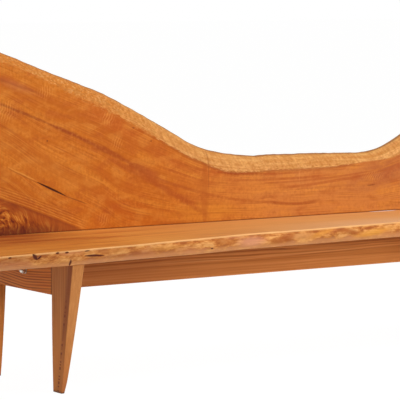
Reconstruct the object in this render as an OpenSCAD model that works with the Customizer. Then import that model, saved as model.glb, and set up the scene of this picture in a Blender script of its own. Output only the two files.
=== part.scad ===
// Bench with back: a live-edge seat slab and a live-edge back slab on two
// tapered end frames, tied together by one long centre beam.
// Millimetres. +X runs along the bench, +Y towards its back, +Z up.
// The origin is on the floor, in the middle of the bench's outer sizes.

/* [Seat slab] */
// Length of the seat slab, end to end
seat_l = 2440; // [2100:10:2700]
// Thickness of the seat slab
seat_t = 50; // [40:1:60]
// Height of the sitting surface above the floor
seat_h = 450; // [400:5:500]
// How far the live front edge bulges out between its two arrises
seat_bulge = 7; // [0:1:12]
// Length over which the wavy rear edge blends into its seat against a post
post_blend = 40; // [20:5:120]

/* [Back slab] */
// How much shorter the back slab is than the seat, at each end
back_short = 20; // [0:5:120]
// Thickness of the back slab
back_t = 48; // [40:1:56]
// Distance of the back's front face behind the middle of the end frames
back_set = 155; // [125:5:180]
// Radius of the rounding at the back's two upper corners
back_corner_r = 90; // [40:5:140]

/* [End frames] */
// How far the seat overhangs the outer face of an end frame
overhang = 332; // [200:2:420]
// Depth of an end frame at the top, front to back
frame_d = 600; // [540:2:660]
// Thickness of the legs and side rails
frame_t = 41; // [36:1:48]
// Width of a leg at the top
leg_w = 128; // [106:1:144]
// Width of a leg at the foot
foot_w = 50; // [36:1:66]
// Thickness of a front leg at the foot
foot_t = 11; // [10:1:24]
// Thickness of a rear leg at the foot
rear_foot_t = 18; // [12:1:30]
// How far a leg's inner edge draws in at the foot
foot_inset = 6; // [0:1:16]
// Height of a side rail
rail_h = 103; // [90:1:130]

/* [Back posts] */
// Height of the rear legs' posts above the seat
post_rise = 190; // [150:5:190]
// Width of a post at its top
post_top_w = 42; // [42:1:60]

/* [Centre beam] */
// Height of the centre beam
beam_h = 107; // [96:1:130]
// Thickness of the centre beam
beam_t = 41; // [38:1:48]
// How far the beam lies in front of the middle of the end frames
beam_set = 13; // [0:1:40]

/* [Beam studs] */
// Thread diameter of the studs that tie the beam to the side rails
stud_d = 10; // [8:1:11]
// How far the studs lie above the middle of the side rails
stud_up = 9; // [0:1:12]
// Length of a stud that lies in the beam
stud_in = 49; // [46:1:56]
// Length of a stud that lies in its cap nut
stud_out = 12; // [10:1:13]
// Width of a cap nut's hexagon across its flats
cap_af = 17; // [15:1:19]
// Height of that hexagon
cap_hex_h = 8; // [6:0.5:9]
// Diameter of the cap nut's dome
cap_d = 16; // [14:0.5:16]
// Height of the cap nut
cap_h = 18; // [17:0.5:22]
// Outer diameter of the washer under a cap nut
stud_washer_d = 21; // [20:1:30]
// Thickness of that washer
stud_washer_t = 2; // [1:0.1:3]
// Diameter of the barrel nut in the beam's end
nut_d = 16; // [14:1:20]
// Length of the barrel nut
nut_l = 32; // [26:1:34]
// Distance of the barrel nut from the beam's end
nut_in = 38; // [34:1:40]

/* [Dowels] */
// Diameter of the dowels in the frames and the beam
dowel_d = 10; // [8:1:12]
// Length of a dowel between a leg and a side rail
rail_dowel_l = 60; // [40:2:70]
// Distance between the two dowels of a leg and side rail joint
rail_dowel_gap = 50; // [30:2:60]
// Length of a dowel between a side rail and the beam
beam_dowel_l = 48; // [30:2:56]
// How much of a beam dowel lies in the side rail
beam_dowel_in = 22; // [12:1:26]
// Distance between the two dowels in a beam's end
beam_dowel_gap = 64; // [50:2:70]
// Diameter of the dowels between the seat and the back
back_dowel_d = 12; // [8:1:14]
// Length of a dowel between the seat and the back
back_dowel_l = 60; // [40:2:70]
// Spacing of the three dowels between the seat and the back
back_dowel_gap = 400; // [200:10:480]

/* [Seat screws] */
// Shank diameter of a seat screw
screw_d = 5.5; // [4:0.1:7]
// Length of a seat screw under its head
screw_l = 70; // [64:1:80]
// Diameter of a seat screw's round head
screw_head_d = 12; // [9:0.5:14]
// Height of that head
screw_head_h = 4; // [3:0.1:6]
// Outer diameter of the washer under the head
screw_washer_d = 15; // [13:0.5:18]
// Thickness of that washer
screw_washer_t = 1.5; // [1:0.1:2.5]
// Wood left between the washer and the top of a rail or the beam
screw_grip = 42; // [36:1:50]
// Distance of a seat screw from the middle of a side rail
rail_screw_y = 110; // [60:2:130]
// Spacing of the three seat screws along the beam
beam_screw_gap = 500; // [200:10:650]

/* [Back bolts] */
// Thread diameter of the bolts that hold the back to the posts
back_bolt_d = 8; // [6:1:8]
// Length of a back bolt under its head
back_bolt_l = 50; // [46:1:52]
// Diameter of the back bolt's round head
back_head_d = 13; // [12:0.5:15]
// Height of that head
back_head_h = 8; // [5:0.5:8]
// Diameter of the hexagon socket in that head, across its flats
back_socket_af = 6; // [4:1:7]
// Outer diameter of the washer under a back bolt's head
back_washer_d = 18; // [15:0.5:20]
// Thickness of that washer
back_washer_t = 1.6; // [1:0.1:2]
// Thickness of post wood that a back bolt clamps
post_grip = 32; // [30:1:32]
// Height of the lower back bolt above the seat
back_bolt_low = 50; // [40:2:70]
// Distance of the upper back bolt below the top of its post
back_bolt_high = 40; // [30:2:60]
// Outer diameter of the threaded insert in the back slab
insert_d = 12; // [11:0.5:16]
// Length of that insert
insert_l = 22; // [20:1:24]

/* [Clearances] */
// Play between a dowel, nut, insert or screw and its bore, on the diameter
bore_play = 0.2; // [0.1:0.05:0.4]
// Play between a bolt and the hole it passes through, on the diameter
bolt_play = 1; // [0.5:0.1:1.5]
// Free depth beyond the end of a dowel, bolt or screw
end_play = 1; // [0.5:0.5:3]

/* [Hidden] */
$fn = 64;

back_l = seat_l - 2 * back_short;
frame_out = seat_l - 2 * overhang;
leg_h = seat_h - seat_t;
rail_l = frame_d - 2 * leg_w;
beam_l = frame_out - 2 * frame_t;
frame_x = (frame_out - frame_t) / 2;
rail_mid_z = leg_h - rail_h / 2;
stud_z = rail_mid_z + stud_up;
back_rear = back_set + back_t;
over = 1; // how far a cut runs past the face it starts from

// The live outlines. The first number of each point is its place along the
// slab, -1 at the left end and 1 at the right end.
// How far the seat's upper front arris stands in front of the end frames
seat_upper = [
    [-1, 78], [-0.905, 64], [-0.785, 45], [-0.655, 22], [-0.545, 7],
    [-0.435, -20], [-0.325, -40], [-0.195, -67], [-0.095, -80],
    [0.025, -84], [0.145, -98], [0.265, -108], [0.375, -120],
    [0.455, -116], [0.535, -84], [0.605, -38], [0.675, 12],
    [0.795, 32], [0.895, 38], [1, 36]
];
// The same for its lower front arris
seat_lower = [
    [-1, 14], [-0.905, 12], [-0.785, 9], [-0.705, 3], [-0.655, -7],
    [-0.545, -22], [-0.435, -34], [-0.325, -48], [-0.195, -76],
    [-0.095, -80], [0.025, -88], [0.145, -99], [0.265, -107],
    [0.375, -112], [0.455, -106], [0.535, -74], [0.605, -30],
    [0.655, 6], [0.795, 18], [0.895, 22], [1, 20]
];
// How far the seat's rear edge falls short of the back's rear face, away
// from the two posts
seat_wane = [
    [-1, 14], [-0.85, 5], [-0.6, 3], [-0.3, 5], [0, 4], [0.3, 5],
    [0.42, 10], [0.455, 25], [0.48, 48], [0.51, 52], [0.555, 53],
    [0.575, 47], [0.597, 23], [0.62, 6], [0.7, 3], [0.8, 4], [1, 12]
];
// Height of the back slab above the seat
back_top = [
    [-1, 650], [-0.935, 643], [-0.825, 612], [-0.71, 573], [-0.588, 518],
    [-0.465, 465], [-0.402, 437], [-0.338, 402], [-0.209, 321],
    [-0.117, 263], [-0.085, 248], [-0.037, 233], [0.031, 220],
    [0.099, 212], [0.12, 214], [0.197, 214], [0.333, 211], [0.465, 207],
    [0.517, 213], [0.567, 232], [0.626, 266], [0.715, 333],
    [0.805, 386], [0.9, 414], [1, 426]
];
// Height of the waney band under the back's top edge
back_band = [
    [-1, 36], [-0.725, 34], [-0.605, 34], [-0.425, 52], [-0.145, 56],
    [-0.1, 51], [-0.07, 55], [-0.005, 62], [0.1, 52], [0.2, 52],
    [0.355, 46], [0.495, 31], [0.595, 52], [0.735, 56], [1, 44]
];
// The shape of that band, from the rear face to the front face. Each point
// has its depth as a share of the slab's thickness, and its drop below the
// top as a share of the band's height.
band_edge = [
    [0, 0.16], [0.14, 0.03], [0.34, 0], [0.64, 0.2], [0.87, 0.56], [1, 1]
];
slab_stations = 96;

// Smooth curve through a list of points: cubic pieces whose slope at each
// point is that of the line between its two neighbours.
function slope(k, i) =
    let (a = max(i - 1, 0), b = min(i + 1, len(k) - 1))
    (k[b][1] - k[a][1]) / (k[b][0] - k[a][0]);
function piece_of(k, u, i = 0) =
    (i == len(k) - 2 || u <= k[i + 1][0]) ? i : piece_of(k, u, i + 1);
function along(k, u) =
    let (
        i = piece_of(k, u),
        w = k[i + 1][0] - k[i][0],
        t = (u - k[i][0]) / w
    )
    (2 * t^3 - 3 * t^2 + 1) * k[i][1]
    + (t^3 - 2 * t^2 + t) * w * slope(k, i)
    + (3 * t^2 - 2 * t^3) * k[i + 1][1]
    + (t^3 - t^2) * w * slope(k, i + 1);

// Share of the rear edge's wane at a place along the seat: none where a post
// stands against that edge
function wane_share(u) =
    let (
        off_post = abs(abs(u) * seat_l / 2 - frame_x) - frame_t / 2,
        free = off_post - seat_l / slab_stations
    )
    max(0, min(1, free / post_blend));

// One cross-section of the seat: [y, z] points, back edge first, then over
// the top and down the live front edge.
seat_steps = [0, 0.2, 0.5, 0.8, 1];
function seat_section(u) =
    let (rear = back_rear - wane_share(u) * max(0, along(seat_wane, u)))
    concat(
        [[rear, leg_h], [rear, seat_h]],
        [for (s = seat_steps) [
            -frame_d / 2
            - (1 - s) * along(seat_upper, u) - s * along(seat_lower, u)
            - seat_bulge * sin(180 * s),
            seat_h - seat_t * s
        ]]
    );

// One cross-section of the back: the flat front and rear faces, and the
// waney edge that leans back from the front arris to the top.
function corner_drop(u) =
    let (in = (1 - abs(u)) * back_l / 2)
    in >= back_corner_r ? 0
    : back_corner_r - sqrt(back_corner_r^2 - (back_corner_r - in)^2);
function back_section(u) =
    let (
        top = seat_h + along(back_top, u) - corner_drop(u),
        band = along(back_band, u)
    )
    concat(
        [[back_set, seat_h], [back_rear, seat_h]],
        [for (s = band_edge) [back_rear - s[0] * back_t, top - s[1] * band]]
    );

// Middle of the bench's outer sizes, front to back, from the frames' middle
stations = [for (i = [0:slab_stations]) -1 + 2 * i / slab_stations];
front_reach = min([for (u = stations, q = seat_section(u)) q[0]]);
mid_y = (front_reach + frame_d / 2) / 2;

// Joins equal cross-sections, one at each station, into a closed solid
module slab(length, sections) {
    n = len(sections[0]);
    last = len(sections) - 1;
    points = [for (i = [0:last], q = sections[i])
        [-length / 2 + length * i / last, q[0], q[1]]];
    sides = [for (i = [0:last - 1], j = [0:n - 1])
        let (k = (j + 1) % n)
        [i * n + j, i * n + k, (i + 1) * n + k, (i + 1) * n + j]];
    ends = [[for (j = [n - 1:-1:0]) j], [for (j = [0:n - 1]) last * n + j]];
    polyhedron(points, concat(sides, ends), convexity = 6);
}

// Moves a piece from the end frames' middle to the bench's middle
module place() {
    translate([0, -mid_y, 0]) children();
}

// Repeats a piece at both ends of the bench, the left one mirrored
module both_ends() {
    children();
    mirror([1, 0, 0]) children();
}

// A cylinder along +X or +Y
module along_x(d, l) {
    rotate([0, 90, 0]) cylinder(d = d, h = l);
}
module along_y(d, l) {
    rotate([-90, 0, 0]) cylinder(d = d, h = l);
}

// Places of the repeated holes
module at_seat_screws() {
    for (x = [-frame_x, frame_x], y = [-rail_screw_y, rail_screw_y])
        translate([x, y, 0]) children();
    for (i = [-1:1])
        translate([i * beam_screw_gap, -beam_set, 0]) children();
}
module at_back_bolts() {
    for (x = [-frame_x, frame_x],
         z = [seat_h + back_bolt_low, seat_h + post_rise - back_bolt_high])
        translate([x, 0, z]) children();
}
module at_back_dowels() {
    for (i = [-1:1])
        translate([i * back_dowel_gap, back_set + back_t / 2, seat_h])
            children();
}
module at_rail_dowels(x) {
    for (y = [-rail_l / 2, rail_l / 2], s = [-1, 1])
        translate([x, y, rail_mid_z + s * rail_dowel_gap / 2]) children();
}
module at_beam_dowels() {
    for (s = [-1, 1])
        translate([beam_l / 2 + beam_dowel_in, -beam_set,
                   rail_mid_z + s * beam_dowel_gap / 2]) children();
}
// The axis of a stud where it leaves the side rail's outer face
module at_stud() {
    translate([frame_out / 2, -beam_set, stud_z]) children();
}

// Holes that more than one piece shares
module rail_dowel_bores(x) {
    l = rail_dowel_l + 2 * end_play;
    at_rail_dowels(x) translate([0, -l / 2, 0]) along_y(dowel_d + bore_play, l);
}
module beam_dowel_bores() {
    l = beam_dowel_l + 2 * end_play;
    at_beam_dowels() translate([end_play, 0, 0])
        mirror([1, 0, 0]) along_x(dowel_d + bore_play, l);
}
module stud_hole() {
    at_stud() translate([over, 0, 0]) mirror([1, 0, 0])
        along_x(stud_d + bolt_play, over + frame_t + stud_in + end_play);
}
module seat_screw_holes() {
    head_z = leg_h - screw_grip;
    at_seat_screws() {
        translate([0, 0, head_z])
            cylinder(d = screw_d + bore_play,
                     h = screw_l - screw_washer_t + end_play);
        translate([0, 0, head_z - seat_h])
            cylinder(d = screw_washer_d + bolt_play, h = seat_h);
    }
}

// Seat: one wide slab, sawn at its ends, with its live edge to the front.
// Its rear edge has a bay near the right end, under the back.
module seat_slab() {
    color([0.80, 0.48, 0.20]) place() difference() {
        slab(seat_l, [for (u = stations) seat_section(u)]);
        seat_screw_holes();
        at_back_dowels() translate([0, 0, -back_dowel_l / 2 - end_play])
            cylinder(d = back_dowel_d + bore_play, h = back_dowel_l);
    }
}

// Back: one tall slab that stands on the seat, with its live edge upwards
module back_slab() {
    color([0.78, 0.44, 0.17]) place() difference() {
        slab(back_l, [for (u = stations) back_section(u)]);
        at_back_dowels() translate([0, 0, -over])
            cylinder(d = back_dowel_d + bore_play,
                     h = back_dowel_l / 2 + end_play + over);
        at_back_bolts() translate([0, back_rear - insert_l - end_play, 0])
            along_y(insert_d + bore_play, insert_l + end_play + over);
    }
}

// Outline of a leg seen from the bench's end, for the front leg: [y, z]
// points from the foot up. The outer edge rakes in towards the foot, and the
// inner edge draws in below the side rail. Both curve.
rake = leg_w - foot_w - foot_inset;
rake_power = 1.05;
leg_steps = 12;
outer_edge = [for (i = [0:leg_steps])
    [-frame_d / 2 + rake * (1 - (i / leg_steps)^rake_power),
     leg_h * i / leg_steps]];
inner_edge = concat(
    [[leg_w - frame_d / 2, leg_h]],
    [for (i = [leg_steps:-1:0])
        [leg_w - frame_d / 2 - foot_inset * (1 - i / leg_steps)^2,
         (leg_h - rail_h) * i / leg_steps]]
);

// Outline of the rear leg's post above the seat slab's bottom: its rear edge
// sweeps in towards the top, and its front edge stands against the slabs.
post_power = 1.6;
post_h = seat_t + post_rise;
function post_rear(z) =
    back_rear + post_top_w
    + (frame_d / 2 - back_rear - post_top_w) * (1 - z / post_h)^post_power;
post_edge = concat(
    [for (i = [1:leg_steps])
        let (z = post_h * i / leg_steps) [post_rear(z), leg_h + z]],
    [[back_rear, leg_h + post_h], [back_rear, leg_h]]
);
function turned(edge) = [for (q = edge) [-q[0], q[1]]];

// Outline of a leg seen from the front: the outer face is upright, and the
// inner face curves in towards the foot, later in a front leg than in a rear.
front_thin_power = 0.6;
rear_thin_power = 0.9;
function leg_face(foot, power) = concat(
    [[0, 0]],
    [for (i = [0:leg_steps])
        [-foot - (frame_t - foot) * (i / leg_steps)^power,
         leg_h * i / leg_steps]],
    [[-frame_t, leg_h + post_h + over], [0, leg_h + post_h + over]]
);

// Turns a [y, z] outline into a board whose outer face is at +X
module board(outline, t) {
    translate([-t, 0, 0]) rotate([90, 0, 90])
        linear_extrude(t) polygon(outline);
}
// Cuts a board to the taper of a leg's inner face
module tapered(foot, power) {
    intersection() {
        children();
        translate([0, frame_d, 0]) rotate([90, 0, 0])
            linear_extrude(2 * frame_d) polygon(leg_face(foot, power));
    }
}

// Front leg, right side: a board that tapers on its front and inner faces
module front_leg() {
    color([0.72, 0.47, 0.27]) place() difference() {
        translate([frame_out / 2, 0, 0]) tapered(foot_t, front_thin_power)
            board(concat(outer_edge, inner_edge), frame_t);
        rail_dowel_bores(frame_x);
    }
}

// Rear leg, right side: a like taper turned to the back, and a post in one
// piece with it that runs up behind the seat and the back
module rear_leg() {
    outline = concat(turned(outer_edge), post_edge, turned(inner_edge));
    sink_y = back_rear + post_grip;
    color([0.70, 0.45, 0.26]) place() difference() {
        translate([frame_out / 2, 0, 0]) tapered(rear_foot_t, rear_thin_power)
            board(outline, frame_t);
        rail_dowel_bores(frame_x);
        at_back_bolts() {
            translate([0, back_rear - over, 0])
                along_y(back_bolt_d + bolt_play, post_grip + 2 * over);
            translate([0, sink_y, 0])
                along_y(back_washer_d + bolt_play, frame_d / 2);
        }
    }
}
module front_left_leg() mirror([1, 0, 0]) front_leg();
module front_right_leg() front_leg();
module rear_left_leg() mirror([1, 0, 0]) rear_leg();
module rear_right_leg() rear_leg();

// Side rail, right side: a board between the front and the rear leg, flush
// with them, which carries the end of the seat
module side_rail() {
    color([0.55, 0.31, 0.17]) place() difference() {
        translate([frame_out / 2 - frame_t, -rail_l / 2, leg_h - rail_h])
            cube([frame_t, rail_l, rail_h]);
        rail_dowel_bores(frame_x);
        beam_dowel_bores();
        stud_hole();
        seat_screw_holes();
    }
}
module left_side_rail() mirror([1, 0, 0]) side_rail();
module right_side_rail() side_rail();

// Centre beam: a long board on edge under the middle of the seat
module centre_beam() {
    sink_y = nut_l / 2 + end_play;
    color([0.66, 0.37, 0.20]) place() difference() {
        translate([-beam_l / 2, -beam_set - beam_t / 2, leg_h - beam_h])
            cube([beam_l, beam_t, beam_h]);
        seat_screw_holes();
        both_ends() {
            beam_dowel_bores();
            stud_hole();
            translate([beam_l / 2 - nut_in, -beam_set - sink_y, stud_z])
                along_y(nut_d + bore_play, sink_y + beam_t);
        }
    }
}

// Hardwood dowels of the four leg and side rail joints
module rail_dowels() {
    color([0.85, 0.70, 0.50]) place() for (x = [-frame_x, frame_x])
        at_rail_dowels(x) translate([0, -rail_dowel_l / 2, 0])
            along_y(dowel_d, rail_dowel_l);
}
// Hardwood dowels in the beam's ends, which keep it from turning
module beam_dowels() {
    color([0.85, 0.70, 0.50]) place() both_ends() at_beam_dowels()
        mirror([1, 0, 0]) along_x(dowel_d, beam_dowel_l);
}
// Hardwood dowels that stand in the seat and locate the back's lower edge
module back_dowels() {
    color([0.85, 0.70, 0.50]) place() at_back_dowels()
        translate([0, 0, -back_dowel_l / 2])
            cylinder(d = back_dowel_d, h = back_dowel_l);
}

// Steel studs through the side rails into the beam's ends
module beam_studs() {
    color([0.72, 0.70, 0.62]) place() both_ends() at_stud()
        translate([-frame_t - stud_in, 0, 0])
            along_x(stud_d, stud_in + frame_t + stud_washer_t + stud_out);
}
// Cap nuts on the studs' outer ends: a hexagon with a dome, bored blind
module cap_nuts() {
    dome_r = cap_d / 2;
    dome = concat(
        [[0, 0], [dome_r, 0]],
        [for (a = [0:10:90])
            [dome_r * cos(a), cap_h - dome_r + dome_r * sin(a)]]
    );
    color([0.80, 0.78, 0.74]) place() both_ends() at_stud()
        translate([stud_washer_t, 0, 0]) rotate([0, 90, 0]) difference() {
            union() {
                cylinder(d = cap_af / cos(30), h = cap_hex_h, $fn = 6);
                rotate_extrude() polygon(dome);
            }
            translate([0, 0, -over])
                cylinder(d = stud_d + bore_play, h = over + stud_out + end_play);
        }
}
module stud_washers() {
    color([0.80, 0.78, 0.74]) place() both_ends() at_stud() difference() {
        along_x(stud_washer_d, stud_washer_t);
        translate([-over, 0, 0])
            along_x(stud_d + bolt_play / 2, stud_washer_t + 2 * over);
    }
}
// Barrel nuts across the beam's ends, cross-drilled for the studs
module barrel_nuts() {
    color([0.70, 0.66, 0.58]) place() both_ends()
        translate([beam_l / 2 - nut_in, -beam_set, stud_z]) difference() {
            translate([0, -nut_l / 2, 0]) along_y(nut_d, nut_l);
            translate([-nut_d, 0, 0]) along_x(stud_d + bore_play, 2 * nut_d);
        }
}

// Screws up through the side rails and the beam into the seat
module seat_screws() {
    color([0.72, 0.70, 0.62]) place() at_seat_screws()
        translate([0, 0, leg_h - screw_grip - screw_washer_t]) {
            cylinder(d = screw_d, h = screw_l);
            translate([0, 0, -screw_head_h])
                cylinder(d = screw_head_d, h = screw_head_h);
        }
}
module seat_screw_washers() {
    color([0.72, 0.70, 0.62]) place() at_seat_screws()
        translate([0, 0, leg_h - screw_grip - screw_washer_t]) difference() {
            cylinder(d = screw_washer_d, h = screw_washer_t);
            translate([0, 0, -over])
                cylinder(d = screw_d + bolt_play / 2,
                         h = screw_washer_t + 2 * over);
        }
}

// Bolts from behind the posts into the back slab
module back_bolts() {
    color([0.72, 0.70, 0.62]) place() at_back_bolts()
        translate([0, back_rear + post_grip + back_washer_t, 0]) {
            mirror([0, 1, 0]) along_y(back_bolt_d, back_bolt_l);
            difference() {
                along_y(back_head_d, back_head_h);
                translate([0, back_head_h / 2, 0]) rotate([-90, 0, 0])
                    cylinder(d = back_socket_af / cos(30),
                             h = back_head_h, $fn = 6);
            }
        }
}
module back_bolt_washers() {
    color([0.72, 0.70, 0.62]) place() at_back_bolts()
        translate([0, back_rear + post_grip, 0]) difference() {
            along_y(back_washer_d, back_washer_t);
            translate([0, -over, 0])
                along_y(back_bolt_d + bolt_play / 2, back_washer_t + 2 * over);
        }
}
// Threaded brass inserts in the back slab's rear face
module back_inserts() {
    color([0.78, 0.62, 0.30]) place() at_back_bolts()
        translate([0, back_rear - insert_l, 0]) difference() {
            along_y(insert_d, insert_l);
            translate([0, -over, 0])
                along_y(back_bolt_d + bore_play, insert_l + 2 * over);
        }
}

seat_slab();
back_slab();
front_left_leg();
front_right_leg();
rear_left_leg();
rear_right_leg();
left_side_rail();
right_side_rail();
centre_beam();
rail_dowels();
beam_dowels();
back_dowels();
beam_studs();
cap_nuts();
stud_washers();
barrel_nuts();
seat_screws();
seat_screw_washers();
back_bolts();
back_bolt_washers();
back_inserts();
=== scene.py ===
import bmesh
import bpy
import numpy as np
from math import pi, radians
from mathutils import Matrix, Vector


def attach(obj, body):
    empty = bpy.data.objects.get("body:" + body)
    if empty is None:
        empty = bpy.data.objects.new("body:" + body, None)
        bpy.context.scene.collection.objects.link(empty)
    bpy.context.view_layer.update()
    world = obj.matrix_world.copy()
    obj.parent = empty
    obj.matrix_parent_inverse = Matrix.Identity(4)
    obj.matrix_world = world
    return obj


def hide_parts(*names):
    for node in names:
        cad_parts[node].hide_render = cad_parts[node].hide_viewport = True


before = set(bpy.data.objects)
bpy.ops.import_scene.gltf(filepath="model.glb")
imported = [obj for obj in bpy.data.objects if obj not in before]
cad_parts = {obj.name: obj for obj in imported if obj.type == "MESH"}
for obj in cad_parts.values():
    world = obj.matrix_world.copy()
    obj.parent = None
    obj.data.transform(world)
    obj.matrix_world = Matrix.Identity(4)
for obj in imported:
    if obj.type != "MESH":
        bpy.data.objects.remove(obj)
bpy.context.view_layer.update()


# Room: a pale floor that runs out of sight in a white surround, one large
# soft lamp low in front and to the right, one overhead and weak ones to the
# left and behind. The camera stands in front of the left end, above the seat.
def tint(red, green, blue):
    """A colour written as 0 to 255 screen values, as the linear RGBA that a node takes."""
    c = np.array([red, green, blue]) / 255.0
    c = np.where(c <= 0.04045, c / 12.92, ((c + 0.055) / 1.055) ** 2.4)
    return (*c.tolist(), 1.0)


def put(tree, kind, wires=None, **settings):
    """Adds a node. Each wire is an input's name or number with a value, or the socket that feeds it."""
    made = tree.nodes.new("ShaderNode" + kind)
    for key, value in settings.items():
        setattr(made, key, value)
    for key, value in (wires or {}).items():
        if isinstance(value, bpy.types.NodeSocket):
            tree.links.new(value, made.inputs[key])
        else:
            made.inputs[key].default_value = value
    return made


def finish_material(name):
    """A new material with its node tree and its Principled BSDF."""
    material = bpy.data.materials.new(name)
    material.use_nodes = True
    return material, material.node_tree, material.node_tree.nodes["Principled BSDF"]


def lamp(name, place, aim, width, height, watts, colour):
    """A rectangular soft lamp at place, turned towards aim."""
    light = bpy.data.lights.new(name, "AREA")
    light.shape = "RECTANGLE"
    light.size = width
    light.size_y = height
    light.energy = watts
    light.color = colour
    stand = bpy.data.objects.new(name, light)
    stand.location = place
    stand.rotation_euler = (Vector(aim) - Vector(place)).to_track_quat("-Z", "Y").to_euler()
    bpy.context.scene.collection.objects.link(stand)


CAMERA_PLACE = (-4.6887, -6.6157, 1.2463)
CAMERA_TURN = 33.832  # degrees to the right of straight along +Y
CAMERA_DIP = 5.022  # degrees below level
sight = bpy.data.cameras.new("camera")
sight.sensor_width = 36
sight.lens = 223.29
sight.clip_end = 200
camera = bpy.data.objects.new("camera", sight)
camera.location = CAMERA_PLACE
camera.rotation_euler = (radians(90 - CAMERA_DIP), 0, radians(-CAMERA_TURN))
bpy.context.scene.collection.objects.link(camera)
bpy.context.scene.camera = camera
bpy.context.scene.view_settings.view_transform = "Standard"

lamp("key_lamp", (2.2, -6.2, 2.7), (0.0, 0.0, 0.5), 3.4, 3.0, 190, (1.0, 0.975, 0.93))
lamp("top_lamp", (0.3, -1.6, 4.6), (0.0, 0.0, 0.4), 3.6, 2.4, 108, (1.0, 0.98, 0.94))
lamp("left_lamp", (-5.2, -3.0, 3.0), (-0.4, 0.0, 0.5), 2.4, 2.0, 18, (1.0, 0.98, 0.94))
lamp("rear_lamp", (-1.5, 6.5, 2.4), (0.0, 0.0, 0.4), 3.0, 2.4, 70, (1.0, 0.98, 0.94))

world = bpy.data.worlds.new("surround")
bpy.context.scene.world = world
world.use_nodes = True
sky = world.node_tree
surround = sky.nodes["Background"]
surround.inputs["Color"].default_value = (1.0, 0.975, 0.94, 1.0)
surround.inputs["Strength"].default_value = 0.40
path = put(sky, "LightPath")
white = put(sky, "Background", {"Color": (1, 1, 1, 1), "Strength": 1.0})
shown = put(sky, "MixShader", {0: path.outputs["Is Camera Ray"],
                               1: surround.outputs[0], 2: white.outputs[0]})
sky.links.new(shown.outputs[0], sky.nodes["World Output"].inputs["Surface"])

FLOOR_REACH = 60.0
GLOW_SHARE = 0.91  # how much of the floor's seen tone is glow, which keeps the shadow faint
corners = [(-1, -1), (1, -1), (1, 1), (-1, 1)]
floor_mesh = bpy.data.meshes.new("floor")
floor_mesh.from_pydata([(x * FLOOR_REACH, y * FLOOR_REACH, 0) for x, y in corners], [], [(0, 1, 2, 3)])
floor = bpy.data.objects.new("floor", floor_mesh)
bpy.context.scene.collection.objects.link(floor)
paper, tree, matt = finish_material("floor_paper")
matt.inputs["Base Color"].default_value = (0.8, 0.8, 0.79, 1)
matt.inputs["Roughness"].default_value = 0.9
glow = put(tree, "Emission", {"Color": (1, 1, 1, 1), "Strength": 1.06})
path = put(tree, "LightPath")
seen = put(tree, "Math", {0: path.outputs["Is Camera Ray"], 1: path.outputs["Is Glossy Ray"]},
           operation="MAXIMUM")
share = put(tree, "Math", {0: seen.outputs[0], 1: GLOW_SHARE}, operation="MULTIPLY")
mixed = put(tree, "MixShader", {0: share.outputs[0], 1: matt.outputs[0], 2: glow.outputs[0]})
tree.links.new(mixed.outputs[0], tree.nodes["Material Output"].inputs["Surface"])
floor_mesh.materials.append(paper)


# Seat: one wide plank, screwed on from below, with its ends sawn square and
# its live edge to the front. The bark is off, and the edge has knot holes,
# slits and pale sapwood. It is oiled and rubbed to a satin shine on top.
MIDDLE_Y = 0.039  # how far the end frames' middle lies behind the part's middle
FRAME_DEPTH = 0.600
SEAT_LENGTH = 2.440
SEAT_TOP = 0.450
SEAT_THICK = 0.050
SEAT_BULGE = 0.007
BACK_FRONT = 0.155  # how far the back's front face lies behind the frames' middle
BACK_THICK = 0.048
POST_X = 0.8675
POST_HALF = 0.0205
POST_CLEAR = SEAT_LENGTH / 96  # rear edge left straight beside a post
POST_BLEND = 0.040


def through(knots, u):
    """A smooth curve through knots, as arrays: cubic pieces whose slope at each knot is that of
    the line between its two neighbours."""
    k = np.array(knots, float)
    last = len(k) - 1
    before = np.maximum(np.arange(last + 1) - 1, 0)
    after = np.minimum(np.arange(last + 1) + 1, last)
    slope = (k[after, 1] - k[before, 1]) / (k[after, 0] - k[before, 0])
    i = np.clip(np.searchsorted(k[:, 0], u, side="left") - 1, 0, last - 1)
    w = k[i + 1, 0] - k[i, 0]
    t = (u - k[i, 0]) / w
    return ((2 * t**3 - 3 * t**2 + 1) * k[i, 1] + (t**3 - 2 * t**2 + t) * w * slope[i]
            + (3 * t**2 - 2 * t**3) * k[i + 1, 1] + (t**3 - t**2) * w * slope[i + 1])


def ripple(a, b, finest, seed, waves=14):
    """A gentle unevenness from -1 to 1: a sum of sine waves that run in seeded directions over
    the plane of a and b, from a fifth of finest to finest waves a metre."""
    rng = np.random.default_rng(seed)
    total = np.zeros(np.broadcast(a, b).shape)
    for _ in range(waves):
        turn, start = rng.uniform(0, pi), rng.uniform(0, 2 * pi)
        rate = finest * rng.uniform(0.2, 1.0)
        total += np.sin(2 * pi * rate * (a * np.cos(turn) + b * np.sin(turn)) + start)
    return total / waves**0.5


def full(row):
    """The same row of values for each station of u."""
    return np.ones((len(u), 1)) * row[None, :]


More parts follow.
